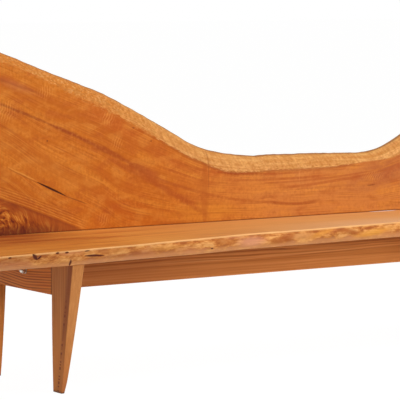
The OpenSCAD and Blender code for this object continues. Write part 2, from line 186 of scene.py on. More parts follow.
def plank(name, x, y, z, across, marks):
    """A closed plank from equal cross-sections. x holds the stations, and y and z one row per
    station with one point per column. across is the grain's own coordinate across the plank, with
    one column more to close the loop. marks holds named values for the points, such as how much
    each lies on the live edge."""
    n, m = y.shape
    points = np.stack([np.broadcast_to(x[:, None], (n, m)), y, z], 2).reshape(-1, 3)
    i, j = np.meshgrid(np.arange(n - 1), np.arange(m), indexing="ij")
    k = (j + 1) % m
    quads = np.stack([i * m + j, i * m + k, (i + 1) * m + k, (i + 1) * m + j], 2).reshape(-1, 4)
    ends = [list(range(m - 1, -1, -1)), list(range((n - 1) * m, n * m))]
    mesh = bpy.data.meshes.new(name)
    mesh.from_pydata(points.tolist(), [], quads.tolist() + ends)
    along = np.stack([x[i], x[i], x[i + 1], x[i + 1]], 2)
    side = np.stack([across[i, j], across[i, j + 1], across[i + 1, j + 1], across[i + 1, j]], 2)
    body_uv = np.stack([along, side], 3).reshape(-1, 2)
    end_uv = np.concatenate([points[ends[0]][:, 1:], points[ends[1]][:, 1:]])
    layer = mesh.uv_layers.new(name="flow")
    layer.data.foreach_set("uv", np.concatenate([body_uv, end_uv]).astype(np.float32).ravel())
    for label, values in marks.items():
        mark = mesh.attributes.new(label, "FLOAT", "POINT")
        mark.data.foreach_set("value", values.astype(np.float32).ravel())
    sawn = mesh.attributes.new("sawn", "FLOAT", "FACE")
    sawn.data.foreach_set("value", np.concatenate([np.zeros(len(quads)), [1, 1]]).astype(np.float32))
    mesh.polygons.foreach_set("use_smooth", np.ones(len(mesh.polygons), bool))
    mesh.update()
    piece = bpy.data.objects.new(name, mesh)
    bpy.context.scene.collection.objects.link(piece)
    solid = bmesh.new()
    solid.from_mesh(mesh)
    if solid.calc_volume(signed=True) < 0:
        bmesh.ops.reverse_faces(solid, faces=solid.faces)
        solid.to_mesh(mesh)
    solid.free()
    return piece


def soften(piece, width, sharper=38):
    """Rounds every edge sharper than so many degrees, and keeps the flat faces flat."""
    bevel = piece.modifiers.new("soft_edges", "BEVEL")
    bevel.width = width
    bevel.segments = 3
    bevel.limit_method = "ANGLE"
    bevel.angle_limit = radians(sharper)
    bevel.use_clamp_overlap = True
    piece.modifiers.new("flat_faces", "WEIGHTED_NORMAL").keep_sharp = True


# How far the upper and the lower front arris stand in front of the end frames,
# and how far the rear edge falls short of the back's rear face, in millimetres
# at places from -1 at the left end to 1 at the right end
seat_upper = [[-1, 78], [-0.905, 64], [-0.785, 45], [-0.655, 22], [-0.545, 7], [-0.435, -20],
              [-0.325, -40], [-0.195, -67], [-0.095, -80], [0.025, -84], [0.145, -98],
              [0.265, -108], [0.375, -120], [0.455, -116], [0.535, -84], [0.605, -38],
              [0.675, 12], [0.795, 32], [0.895, 38], [1, 36]]
seat_lower = [[-1, 14], [-0.905, 12], [-0.785, 9], [-0.705, 3], [-0.655, -7], [-0.545, -22],
              [-0.435, -34], [-0.325, -48], [-0.195, -76], [-0.095, -80], [0.025, -88],
              [0.145, -99], [0.265, -107], [0.375, -112], [0.455, -106], [0.535, -74],
              [0.605, -30], [0.655, 6], [0.795, 18], [0.895, 22], [1, 20]]
seat_wane = [[-1, 14], [-0.85, 5], [-0.6, 3], [-0.3, 5], [0, 4], [0.3, 5], [0.42, 10],
             [0.455, 25], [0.48, 48], [0.51, 52], [0.555, 53], [0.575, 47], [0.597, 23],
             [0.62, 6], [0.7, 3], [0.8, 4], [1, 12]]
u = np.linspace(-1, 1, 489)
x = u * SEAT_LENGTH / 2
free = (np.abs(np.abs(x) - POST_X) - POST_HALF - POST_CLEAR) / POST_BLEND
rear = (BACK_FRONT + BACK_THICK + MIDDLE_Y
        - np.clip(free, 0, 1) * np.maximum(0, through(seat_wane, u)) / 1000)
front_top = MIDDLE_Y - FRAME_DEPTH / 2 - through(seat_upper, u) / 1000
front_low = MIDDLE_Y - FRAME_DEPTH / 2 - through(seat_lower, u) / 1000
up = np.linspace(0, 1, 6)[:-1]
inward = np.concatenate([np.linspace(0, 0.96, 25), [0.985, 0.994]])
down = np.concatenate([[0, 0.05], np.linspace(0.1, 1.0, 16)])
under = np.linspace(0, 1, 9)[1:-1]
edge_y = (front_top[:, None] * (1 - down) + front_low[:, None] * down - SEAT_BULGE * np.sin(pi * down)
          + 0.0016 * np.sin(pi * down) * ripple(x[:, None], down / 20, 26, 3))
seat_y = np.concatenate([full(0 * up) + rear[:, None],
                         rear[:, None] + full(inward) * (front_top - rear)[:, None],
                         edge_y,
                         front_low[:, None] + full(under) * (rear - front_low)[:, None]], 1)
seat_z = np.concatenate([full(SEAT_TOP - SEAT_THICK * (1 - up)), full(0 * inward + SEAT_TOP),
                         full(SEAT_TOP - SEAT_THICK * down),
                         full(0 * under + SEAT_TOP - SEAT_THICK)], 1)
seat_across = np.concatenate([full((up - 1) * SEAT_THICK), full(inward * 0.58),
                              full(0.58 + down * 0.06), full(0.64 + under * 0.58),
                              full(np.array([1.22]))], 1)
seat_live = np.concatenate([full(0 * up), full(0 * inward),
                            full(np.where((down > 0) & (down < 1), 1.0, 0.5)), full(0 * under)], 1)
seat_plank = plank("seat_plank", x, seat_y, seat_z, seat_across, {"live": seat_live})
soften(seat_plank, 0.0016)


def calc(tree, operation, first, second=0.0, clamp=False):
    """The result of one Math node."""
    return put(tree, "Math", {0: first, 1: second}, operation=operation, use_clamp=clamp).outputs[0]


def plus(tree, first, second):
    """The sum of two values."""
    return calc(tree, "ADD", first, second)


def minus(tree, first, second):
    """The first value less the second."""
    return calc(tree, "SUBTRACT", first, second)


def times(tree, first, *others):
    """The product of all the values."""
    for other in others:
        first = calc(tree, "MULTIPLY", first, other)
    return first


def steer(tree, operation, first, second=(0.0, 0.0, 0.0)):
    """The vector that one VectorMath node gives, or the value where it gives a length or product."""
    node = put(tree, "VectorMath", {0: first, 1: second}, operation=operation)
    return node.outputs["Value" if operation in ("LENGTH", "DISTANCE", "DOT_PRODUCT") else "Vector"]


def stretch(tree, way, *rates):
    """The vector way with its X, Y and Z multiplied by three rates."""
    return steer(tree, "MULTIPLY", way, rates)


def in_plane(tree, way, start):
    """The vector from start to way in the plane of X and Z."""
    return stretch(tree, steer(tree, "SUBTRACT", way, start), 1.0, 0.0, 1.0)


def turned(tree, way, angle):
    """The vector way turned about the Y axis."""
    return put(tree, "VectorRotate", {"Vector": way, "Angle": angle}, rotation_type="Y_AXIS").outputs[0]


def joined(tree, x, y, z=0.0):
    """A vector from three values."""
    return put(tree, "CombineXYZ", {0: x, 1: y, 2: z}).outputs[0]


def parts(tree, way):
    """The X, Y and Z of a vector."""
    return put(tree, "SeparateXYZ", {0: way}).outputs


def noise(tree, way, detail, **more):
    """Soft noise over the vector way, with one cell to a unit of it. more holds other inputs."""
    return put(tree, "TexNoise", {"Vector": way, "Scale": 1.0, "Detail": detail} | more).outputs["Fac"]


def blend(tree, share, first, second):
    """The colour between first and second at that share."""
    return put(tree, "Mix", {0: share, 6: first, 7: second}, data_type="RGBA").outputs[2]


def wash(tree, under, colour, *shares):
    """The colour under, with one of 0 to 255 screen values laid over it at the shares' product."""
    return blend(tree, times(tree, *shares), under, tint(*colour))


def swing(tree, under, value, above, more, below, less):
    """The colour under, washed with above where value is over zero and with below where it is
    under zero. more and less are the strengths of the two."""
    return wash(tree, wash(tree, under, above, value, more), below, value, -less)


def ramp(tree, value, *stops):
    """A colour from a ramp of stops, each a place and a colour of 0 to 255 screen values."""
    made = put(tree, "ValToRGB", {0: value})
    elements = made.color_ramp.elements
    while len(elements) < len(stops):
        elements.new(0.5)
    for element, (place, colour) in zip(elements, stops):
        element.position = place
        element.color = tint(*colour)
    return made.outputs[0]


def span(tree, value, low, high, out_low=0.0, out_high=1.0):
    """value taken smoothly from the range low..high to out_low..out_high."""
    return put(tree, "MapRange", {0: value, 1: low, 2: high, 3: out_low, 4: out_high},
               interpolation_type="SMOOTHSTEP").outputs[0]


def effect(name, wanted, given):
    """A shader node group with float and vector sockets: its tree, what it is given and gives."""
    tree = bpy.data.node_groups.new(name, "ShaderNodeTree")
    for label, kind in wanted.items():
        tree.interface.new_socket(name=label, in_out="INPUT", socket_type="NodeSocket" + kind)
    for label in given:
        tree.interface.new_socket(name=label, in_out="OUTPUT", socket_type="NodeSocketFloat")
    return tree, tree.nodes.new("NodeGroupInput").outputs, tree.nodes.new("NodeGroupOutput").inputs


def use(tree, group, wires):
    """The outputs of a node group placed in a material."""
    return put(tree, "Group", wires, node_tree=group).outputs


# The wood's own effects, which every wooden piece takes with its own values.
# Grain: streaks along X of the vector that it is given, finer fibres, and a
# faint figure of short dashes across them.
wood_grain, given, made = effect(
    "wood_grain", {"Vector": "Vector", "Along": "Float", "Across": "Float", "Wander": "Float"},
    ("Streaks", "Fibres", "Figure"))
t = wood_grain
x, y, z = parts(t, given["Vector"])
drift = noise(t, stretch(t, given["Vector"], 1.6, 5.0, 5.0), 2.0)
side = plus(t, y, times(t, minus(t, drift, 0.5), given["Wander"]))
streak_at = joined(t, times(t, x, given["Along"]), times(t, side, given["Across"]),
                   times(t, z, given["Across"]))
dash_at = joined(t, times(t, x, 150.0), times(t, side, 26.0), times(t, z, 26.0))
t.links.new(noise(t, streak_at, 4.0, Roughness=0.6), made["Streaks"])
t.links.new(noise(t, stretch(t, streak_at, 3.0, 6.0, 6.0), 2.0, Roughness=0.6), made["Fibres"])
t.links.new(noise(t, dash_at, 1.5), made["Figure"])

# Patch: a soft oval in the plane of X and Z, for areas of another colour.
soft_patch, given, made = effect(
    "soft_patch", {"Vector": "Vector", "Centre": "Vector", "Radii": "Vector", "Turn": "Float",
                   "Core": "Float"}, ("Mask",))
t = soft_patch
away = turned(t, in_plane(t, given["Vector"], given["Centre"]), given["Turn"])
far = steer(t, "LENGTH", steer(t, "DIVIDE", away, given["Radii"]))
t.links.new(span(t, far, 1.0, given["Core"]), made["Mask"])

# Line: a narrow mark from one point to another in that plane, such as a
# check, a slit or a dark streak. It fades out over its half width.
fine_line, given, made = effect(
    "fine_line", {"Vector": "Vector", "From": "Vector", "To": "Vector", "Half": "Float"}, ("Mask",))
t = fine_line
point = in_plane(t, given["Vector"], given["From"])
whole = in_plane(t, given["To"], given["From"])
place = calc(t, "DIVIDE", steer(t, "DOT_PRODUCT", point, whole),
             steer(t, "DOT_PRODUCT", whole, whole), clamp=True)
gap = steer(t, "DISTANCE", point, steer(t, "MULTIPLY", whole, place))
middle = calc(t, "ABSOLUTE", minus(t, place, 0.5))
thin = minus(t, 1.0, times(t, calc(t, "POWER", middle, 2.0), 3.2))
wide = times(t, given["Half"], thin)
t.links.new(span(t, calc(t, "DIVIDE", gap, wide), 1.0, 0.25), made["Mask"])

# Growth lines: thin dark lines of late wood, each one fading in and ending
# sharply, evenly spaced across Y of the vector and wandering along X.
growth_lines, given, made = effect(
    "growth_lines", {"Vector": "Vector", "Spacing": "Float", "Wander": "Float"}, ("Lines",))
t = growth_lines
x, y, _ = parts(t, given["Vector"])
bend = noise(t, stretch(t, given["Vector"], 1.7, 22.0, 0.0), 2.0)
shift = times(t, minus(t, bend, 0.5), given["Wander"])
phase = calc(t, "DIVIDE", plus(t, y, shift), given["Spacing"])
saw = calc(t, "FRACT", phase)
line = times(t, span(t, saw, 0.35, 0.88), span(t, saw, 1.0, 0.9))
force = noise(t, joined(t, times(t, x, 3.0), times(t, calc(t, "FLOOR", phase), 0.7)), 1.0)
t.links.new(times(t, line, span(t, force, 0.3, 0.65, 0.25, 1.0)), made["Lines"])


def grained(tree, way, along, across, wander):
    """The wood's grain over the vector way: its streaks, fibres and figure."""
    return use(tree, wood_grain, {"Vector": way, "Along": along, "Across": across, "Wander": wander})


def ringed(tree, way, spacing, wander):
    """The growth lines over the vector way."""
    return use(tree, growth_lines, {"Vector": way, "Spacing": spacing, "Wander": wander})[0]


def oval(tree, spot, x, z, reach_x, reach_z, turn, core):
    """The mask of a soft patch round x and z."""
    return use(tree, soft_patch, {"Vector": spot, "Centre": (x, 0, z), "Radii": (reach_x, 1, reach_z),
                                  "Turn": turn, "Core": core})[0]


def patched(tree, under, spot, core, patches):
    """The colour under, with soft patches laid over it. Each has its middle's X and Z, its reach
    in X and Z, its turn, its colour and its share."""
    for x, z, reach_x, reach_z, turn, colour, share in patches:
        mask = oval(tree, spot, x, z, reach_x, reach_z, turn, core)
        under = wash(tree, under, colour, mask, share)
    return under


def thin_mark(tree, spot, x, z, end_x, end_z, half):
    """The mask of a fine line from x and z to its end."""
    return use(tree, fine_line, {"Vector": spot, "From": (x, 0, z), "To": (end_x, 0, end_z),
                                 "Half": half})[0]


def oiled(name, shine):
    """An oiled wood: its material, its nodes, its shader, the place on the object as a vector,
    and that place's X, Y and Z."""
    material, tree, shade = finish_material(name)
    shade.inputs["Specular IOR Level"].default_value = shine
    spot = put(tree, "TexCoord").outputs["Object"]
    return material, tree, shade, spot, parts(tree, spot)


def own(tree, name):
    """The value of one of the mesh's own marks."""
    return put(tree, "Attribute", attribute_name=name).outputs["Fac"]


def surface(tree, shade, colour, relief, strength, distance):
    """Feeds a shader its colour, and a bump from relief."""
    tree.links.new(colour, shade.inputs["Base Color"])
    bump = put(tree, "Bump", {"Strength": strength, "Distance": distance, "Height": relief})
    tree.links.new(bump.outputs[0], shade.inputs["Normal"])


seat_wood, tree, shade, spot, (x, y, z) = oiled("seat_oiled_plank", 0.2)
flow = put(tree, "UVMap", uv_map="flow").outputs[0]
live, sawn = own(tree, "live"), own(tree, "sawn")
# The top: broad and fine streaks, redder towards the left end, with a painted reflection of
# the back's dark figure at the left rear and a painted sheen that pales it to the right and front
grain = grained(tree, flow, 1.3, 60.0, 0.03)
top = ramp(tree, grain["Streaks"], (0.33, (195, 114, 42)), (0.47, (211, 134, 53)),
           (0.56, (217, 142, 60)), (0.70, (226, 155, 76)))
stripe = noise(tree, stretch(tree, spot, 2.2, 15.0, 0.0), 3.0)
plain = span(tree, x, -0.9, 0.0, 1.0, 0.3)
top = wash(tree, top, (176, 88, 30), plain, span(tree, stripe, 0.48, 0.34, 0.0, 0.9))
top = wash(tree, top, (222, 150, 68), plain, span(tree, stripe, 0.50, 0.62, 0.0, 0.8))
# painted sheen: paler to the right, and paler still at the right front
top = wash(tree, top, (228, 168, 108), span(tree, x, -0.9, 0.6), 0.7)
top = wash(tree, top, (230, 178, 134), span(tree, x, -0.2, 0.5), span(tree, y, 0.05, -0.12), 0.7)
# painted reflection of the back's dark figure: darker and redder at the left rear
top = wash(tree, top, (140, 56, 24), span(tree, x, -0.55, -0.95), span(tree, y, -0.16, 0.02),
           span(tree, stripe, 0.62, 0.44, 0.45, 0.95))
top = wash(tree, top, (176, 94, 34), span(tree, x, -0.6, -1.1, 0.0, 0.35))
# The live edge: mottled, with a pink lower lip, patches, a pale upper arris, and knot holes and
# slits darkened with painted shade
mottle = noise(tree, stretch(tree, spot, 20.0, 20.0, 70.0), 4.0, Roughness=0.7, Distortion=0.15)
wane = ramp(tree, mottle, (0.38, (164, 88, 34)), (0.47, (196, 121, 54)), (0.53, (210, 141, 72)),
            (0.62, (228, 165, 96)))
blush = noise(tree, stretch(tree, spot, 6.0, 6.0, 20.0), 3.0)
wane = wash(tree, wane, (192, 116, 74), span(tree, blush, 0.5, 0.62, 0.0, 0.6))
lip = plus(tree, z, times(tree, mottle, 0.045))
wane = wash(tree, wane, (212, 148, 96), span(tree, lip, 0.442, 0.426, 0.0, 0.7))
wane = patched(tree, wane, spot, 0.2, (
    (-0.050, 0.425, 0.09, 0.018, 0.15, (166, 84, 28), 0.8),
    (0.230, 0.430, 0.08, 0.014, -0.25, (162, 84, 26), 0.8),
    (0.330, 0.422, 0.11, 0.016, 0.1, (228, 156, 62), 0.8),
    (0.100, 0.432, 0.10, 0.012, 0.2, (222, 148, 60), 0.7),
    (-0.295, 0.430, 0.07, 0.014, -0.2, (176, 98, 40), 0.6),
    (-0.185, 0.424, 0.08, 0.024, 0.0, (216, 148, 112), 0.8),
    (-0.560, 0.430, 0.12, 0.012, 0.0, (206, 140, 66), 0.5),
    (-0.760, 0.436, 0.14, 0.010, 0.0, (204, 134, 68), 0.5),
    (-0.700, 0.420, 0.20, 0.009, 0.0, (166, 92, 44), 0.6),
    (0.030, 0.428, 0.06, 0.020, 0.0, (214, 150, 88), 0.6),
    (-1.120, 0.436, 0.12, 0.016, 0.0, (160, 84, 34), 0.5)))
wane = wash(tree, wane, (238, 184, 122), span(tree, z, 0.4425, 0.4480, 0.0, 0.9))
holes = 0.0
for slit in ((-1.060, 0.449, -1.038, 0.430, 0.0090), (-1.038, 0.430, -1.026, 0.442, 0.0065),
             (-0.975, 0.4455, -0.961, 0.4455, 0.0048), (-0.940, 0.4445, -0.926, 0.4445, 0.0046),
             (-0.866, 0.4435, -0.846, 0.4440, 0.0030), (-1.147, 0.4435, -1.134, 0.4430, 0.0042),
             (-0.862, 0.4290, -0.788, 0.4250, 0.0056), (-0.911, 0.4210, -0.904, 0.4000, 0.0064),
             (-0.358, 0.4150, -0.346, 0.4135, 0.0038)):
    holes = calc(tree, "MAXIMUM", thin_mark(tree, spot, *slit), holes)
holes = times(tree, holes, span(tree, live, 0.3, 0.6))
# painted shade inside the knot holes and slits
wane = wash(tree, wane, (84, 24, 0), holes)
# Both, with darker fibres, and growth rings on the sawn ends
colour = blend(tree, span(tree, live, 0.2, 0.8), top, wane)
fibre = minus(tree, grain["Fibres"], 0.5)
colour = wash(tree, colour, (150, 78, 26), fibre, 1.4)
from_heart = stretch(tree, steer(tree, "ADD", spot, (0.0, 0.0, 0.33)), 0.0, 0.45, 1.0)
rings = ringed(tree, joined(tree, y, steer(tree, "LENGTH", from_heart)), 0.0045, 0.006)
butt = blend(tree, rings, tint(196, 122, 58), tint(140, 74, 30))
colour = blend(tree, times(tree, sawn, 0.8), colour, butt)
rough = span(tree, live, 0.2, 0.8, 0.46, 0.6)
tree.links.new(plus(tree, rough, times(tree, fibre, 0.16)), shade.inputs["Roughness"])
relief = plus(tree, times(tree, grain["Fibres"], 0.25), times(tree, mottle, live))
relief = minus(tree, relief, times(tree, holes, 1.6))
surface(tree, shade, colour, relief, 0.35, 0.003)
seat_plank.data.materials.append(seat_wood)
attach(seat_plank, "root")
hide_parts("seat_slab")


# Back: one tall plank on edge, bolted to the posts, with its live edge
# upwards. The tree's outside shows as a pale band that leans back under the
# top. The grain follows the top, and a dark crotch figure fills one corner.
BACK_LENGTH = 2.400
CORNER = 0.090
# Height above the seat and height of the band, in millimetres
back_top = [[-1, 650], [-0.935, 643], [-0.825, 612], [-0.71, 573], [-0.588, 518], [-0.465, 465],
            [-0.402, 437], [-0.338, 402], [-0.209, 321], [-0.117, 263], [-0.085, 248],
            [-0.037, 233], [0.031, 220], [0.099, 212], [0.12, 214], [0.197, 214], [0.333, 211],
            [0.465, 207], [0.517, 213], [0.567, 232], [0.626, 266], [0.715, 333], [0.805, 386],
            [0.9, 414], [1, 426]]
back_band = [[-1, 36], [-0.725, 34], [-0.605, 34], [-0.425, 52], [-0.145, 56], [-0.1, 51],
             [-0.07, 55], [-0.005, 62], [0.1, 52], [0.2, 52], [0.355, 46], [0.495, 31],
             [0.595, 52], [0.735, 56], [1, 44]]
# How deep below the top the grain line lies that meets the seat mid-bench
grain_fan = [[-1, 240], [-0.733, 280], [-0.598, 322], [-0.428, 349], [-0.348, 365],
             [-0.225, 318], [-0.075, 242], [0.031, 220], [0.197, 214], [0.465, 207],
             [0.567, 232], [0.715, 333], [1, 422]]
# The band's shape: its depth as a share of the thickness, its drop as one of its height
band_depth = np.array([0, 0.14, 0.34, 0.64, 0.87, 1])
band_drop = np.array([0.16, 0.03, 0, 0.2, 0.56, 1])
u = np.linspace(-1, 1, 481)
x = u * BACK_LENGTH / 2
crest = SEAT_TOP + through(back_top, u) / 1000
inset = np.minimum((1 - np.abs(u)) * BACK_LENGTH / 2, CORNER)
crest = crest - (CORNER - np.sqrt(CORNER**2 - (CORNER - inset) ** 2))
band = through(back_band, u) / 1000
knee = np.linspace(0, 1, 26)
order = np.arange(len(band_depth)) / (len(band_depth) - 1)
depth = through(np.stack([order, band_depth], 1), knee)
drop = np.maximum(through(np.stack([order, band_drop], 1), knee), 0)
front_y = BACK_FRONT + MIDDLE_Y
rear_y = front_y + BACK_THICK
rise = np.append(np.linspace(0, 1, 17)[:-1], 0.995)
foot = np.linspace(0, 1, 5)[1:-1]
rear_top = crest - drop[0] * band
front_top = crest - band
first = 0.005 / (front_top - SEAT_TOP)[:, None]
fall = first + (1 - first) * np.linspace(0, 1, 40)
uneven = ripple(x[:, None], knee / 12, 22, 8) * np.sin(pi * knee)
back_y = np.concatenate([full(0 * rise + rear_y),
                         rear_y - full(depth) * BACK_THICK + 0.0009 * uneven,
                         0 * fall + front_y, full(front_y + foot * BACK_THICK)], 1)
back_z = np.concatenate([SEAT_TOP + (rear_top - SEAT_TOP)[:, None] * rise,
                         crest[:, None] - drop * band[:, None] - 0.0012 * np.abs(uneven),
                         front_top[:, None] + (SEAT_TOP - front_top)[:, None] * fall,
                         full(0 * foot + SEAT_TOP)], 1)
fan = through(grain_fan, u)[:, None] / 1000
below = (crest[:, None] - np.concatenate([back_z, back_z[:, :1]], 1)) / fan * 0.3
back_crest = np.concatenate([full(0 * rise), full(np.clip((0.52 - knee) / 0.08, 0, 1)),
                             0 * fall, full(0 * foot)], 1)
sunk = (crest[:, None] - back_z) / band[:, None]
sunk[:, :len(rise)] = 3.0  # the rear face has no band
back_plank = plank("back_plank", x, back_y, back_z, below, {"crest": back_crest, "sunk": sunk})
soften(back_plank, 0.0012)

# Sweep: a long streak in the plane of X and Z whose height follows a parabola
# z = A + B x + C x x. It is widest in its middle and fades at both ends.
sweep, given, made = effect(
    "sweep", {"Vector": "Vector", "From": "Float", "To": "Float", "A": "Float", "B": "Float",
              "C": "Float", "Half": "Float"}, ("Mask",))
t = sweep
x, _, z = parts(t, given["Vector"])
level = plus(t, times(t, x, plus(t, times(t, x, given["C"]), given["B"])), given["A"])
stray = noise(t, stretch(t, given["Vector"], 4.0, 0.0, 36.0), 2.0)
gap = calc(t, "DIVIDE", calc(t, "ABSOLUTE", minus(t, z, level)), given["Half"])
gap = plus(t, gap, times(t, minus(t, stray, 0.5), 1.4))
way = calc(t, "DIVIDE", minus(t, x, given["From"]), minus(t, given["To"], given["From"]))
t.links.new(times(t, span(t, gap, 1.0, 0.2), span(t, way, 0.0, 0.12), span(t, way, 1.0, 0.75)),
            made["Mask"])

back_wood, tree, shade, spot, (x, y, z) = oiled("back_oiled_plank", 0.14)
flow = put(tree, "UVMap", uv_map="flow").outputs[0]
sunk, sawn, arris = own(tree, "sunk"), own(tree, "sawn"), own(tree, "crest")
front = span(tree, y, front_y + 0.5 * BACK_THICK, front_y + 0.2 * BACK_THICK)
grain = grained(tree, flow, 2.0, 70.0, 0.02)
close = grained(tree, flow, 5.0, 240.0, 0.01)
broad = noise(tree, stretch(tree, flow, 1.4, 16.0, 1.0), 2.5, Roughness=0.55, Distortion=0.4)
face = ramp(tree, broad, (0.34, (182, 90, 12)), (0.45, (191, 100, 16)), (0.55, (197, 107, 20)),
            (0.66, (205, 118, 28)))
face = wash(tree, face, (207, 133, 68), span(tree, x, -0.35, 0.3), 0.8)
face = patched(tree, face, spot, 0.1, (
    (-0.460, 0.795, 0.27, 0.050, -0.46, (184, 84, 22), 0.65),
    (-0.820, 0.920, 0.11, 0.022, -0.35, (186, 104, 58), 0.6),
    (-0.240, 0.655, 0.16, 0.045, -0.50, (182, 84, 24), 0.6),
    (-0.330, 0.628, 0.11, 0.026, -0.50, (160, 68, 30), 0.55),
    (-0.660, 0.640, 0.24, 0.055, -0.45, (202, 118, 32), 0.6),
    (-0.440, 0.530, 0.18, 0.065, -0.25, (188, 92, 14), 0.7),
    (-0.020, 0.614, 0.15, 0.022, -0.05, (188, 88, 26), 0.65),
    (0.080, 0.558, 0.22, 0.026, 0.0, (212, 128, 50), 0.5),
    (-0.080, 0.480, 0.24, 0.055, 0.0, (212, 134, 40), 0.75),
    (0.660, 0.590, 0.26, 0.075, 0.25, (172, 94, 54), 0.85),
    (0.330, 0.615, 0.17, 0.032, 0.03, (214, 142, 74), 0.45),
    (0.250, 0.500, 0.30, 0.045, 0.0, (212, 134, 62), 0.5)))
cloud = noise(tree, stretch(tree, spot, 13.0, 1.0, 26.0), 3.0, Distortion=0.3)
face = wash(tree, face, (216, 138, 54), span(tree, cloud, 0.50, 0.66, 0.0, 0.40))
face = wash(tree, face, (170, 72, 22), span(tree, cloud, 0.48, 0.32, 0.0, 0.35))
broken = noise(tree, stretch(tree, flow, 8.0, 26.0, 1.0), 2.0)
broken = span(tree, broken, 0.40, 0.62, 0.25, 1.15)
streak = times(tree, minus(tree, grain["Streaks"], 0.5), broken)
face = swing(tree, face, streak, (160, 70, 10), 2.2, (220, 142, 46), 1.8)
layer = times(tree, minus(tree, close["Streaks"], 0.5), broken)
face = swing(tree, face, layer, (156, 68, 18), 2.2, (228, 148, 62), 1.6)
# Its own dark and red streaks: where each starts and ends, its parabola, half
# width, colour and share
for start, end, a, b, c, half, colour, share in (
        (-1.05, -0.48, 0.4393, -0.6093, -0.1424, 0.007, (146, 62, 12), 0.7),
        (-0.72, -0.30, 0.4393, -0.6093, -0.1424, 0.014, (154, 64, 16), 0.7),
        (-0.50, -0.05, 0.4193, -0.6093, -0.1424, 0.018, (166, 72, 20), 0.6),
        (-0.34, 0.26, 0.5243, -0.1763, 0.3476, 0.007, (168, 78, 24), 0.5),
        (-0.10, 0.36, 0.6100, -0.0900, 0.2000, 0.005, (170, 76, 28), 0.55),
        (-0.05, 0.50, 0.5860, -0.0500, 0.1300, 0.006, (174, 80, 30), 0.5),
        (0.10, 0.70, 0.5760, -0.0600, 0.1500, 0.005, (172, 80, 32), 0.5),
        (0.15, 0.39, 0.5584, -0.4604, 0.8226, 0.008, (164, 78, 30), 0.75),
        (0.20, 0.75, 0.5520, -0.0300, 0.1400, 0.006, (176, 86, 36), 0.6),
        (-1.10, -0.70, 0.6525, -0.3286, 0.0, 0.006, (158, 76, 22), 0.4)):
    mask = use(tree, sweep, {"Vector": spot, "From": start, "To": end, "A": a, "B": b, "C": c,
                             "Half": half})[0]
    face = wash(tree, face, colour, mask, share)
# Fine unevenness of the oiled face, ticks across the grain, and patches where
# the ticks show as slanting strokes
STROKE_GAP = 0.0095
grit = noise(tree, spot, 2.0, Scale=105.0, Roughness=0.6)
speckled = times(tree, minus(tree, grit, 0.5), span(tree, broad, 0.40, 0.62, 0.5, 1.2))
face = swing(tree, face, speckled, (150, 68, 14), 1.0, (228, 150, 64), 1.0)
tick = minus(tree, grain["Figure"], 0.5)
face = wash(tree, face, (228, 152, 58), tick, span(tree, broad, 0.44, 0.66, 0.1, 0.9))
face = wash(tree, face, (150, 68, 16), tick, -0.2)
lean = minus(tree, times(tree, x, 0.93), times(tree, z, 0.37))
lean = plus(tree, lean, times(tree, broad, 0.05))
stroke = calc(tree, "SINE", times(tree, lean, 2 * pi / STROKE_GAP))
curled = 0.0
for place in ((-0.715, 0.900, 0.040, 0.028), (-0.482, 0.810, 0.035, 0.034),
              (-0.447, 0.727, 0.030, 0.030), (-0.860, 0.840, 0.050, 0.050),
              (0.600, 0.575, 0.060, 0.022), (-0.500, 0.480, 0.030, 0.030)):
    curled = calc(tree, "MAXIMUM", oval(tree, spot, *place, 0.0, 0.3), curled)
face = wash(tree, face, (236, 164, 84), stroke, curled, 0.32)
# The crotch figure: feathery strands of dark heartwood that run in arcs round
# an eye below a slanting edge, with fine golden lines along its upper side
THREAD_GAP = 0.0085
FIGURE_EYE = (-0.900, 0.0, 0.450)
edge = minus(tree, 0.1861, times(tree, x, plus(tree, times(tree, x, 0.0958), 0.5176)))
above = minus(tree, z, edge)
thread = calc(tree, "SINE", plus(tree, times(tree, above, 2 * pi / THREAD_GAP),
                                 times(tree, close["Streaks"], 7.0)))
beside = times(tree, span(tree, above, -0.001, 0.003), span(tree, above, 0.050, 0.030),
               span(tree, x, -0.55, -0.60))
face = swing(tree, face, times(tree, beside, thread), (226, 152, 66), 0.4, (160, 78, 22), 0.32)
from_eye = in_plane(tree, spot, FIGURE_EYE)
eye_x, _, eye_z = parts(tree, from_eye)
sway = noise(tree, spot, 2.0, Scale=12.0)
radius = plus(tree, steer(tree, "LENGTH", from_eye), times(tree, minus(tree, sway, 0.5), 0.06))
angle = calc(tree, "ARCTAN2", eye_z, eye_x)
strand = noise(tree, joined(tree, times(tree, radius, 95.0), times(tree, angle, 2.6)), 4.0,
               Roughness=0.62, Distortion=0.6)
figure = ramp(tree, strand, (0.35, (108, 38, 8)), (0.45, (156, 72, 14)), (0.55, (186, 98, 24)),
              (0.65, (222, 146, 58)))
figure = wash(tree, figure, (104, 38, 12), span(tree, z, 0.500, 0.455, 0.0, 0.5))
figure = wash(tree, figure, (162, 76, 20), span(tree, above, -0.050, -0.012, 0.0, 0.7))
figure = wash(tree, figure, (98, 32, 16), span(tree, z, 0.484, 0.456), span(tree, x, -0.64, -0.78), 0.6)
figure = wash(tree, figure, (134, 56, 14), span(tree, above, -0.014, -0.002, 0.0, 0.6))
figure = wash(tree, figure, (174, 94, 32), span(tree, x, -0.80, -0.64, 0.0, 0.3))
heart = times(tree, span(tree, above, 0.004, -0.004), span(tree, x, -0.56, -0.62))
face = blend(tree, heart, face, figure)
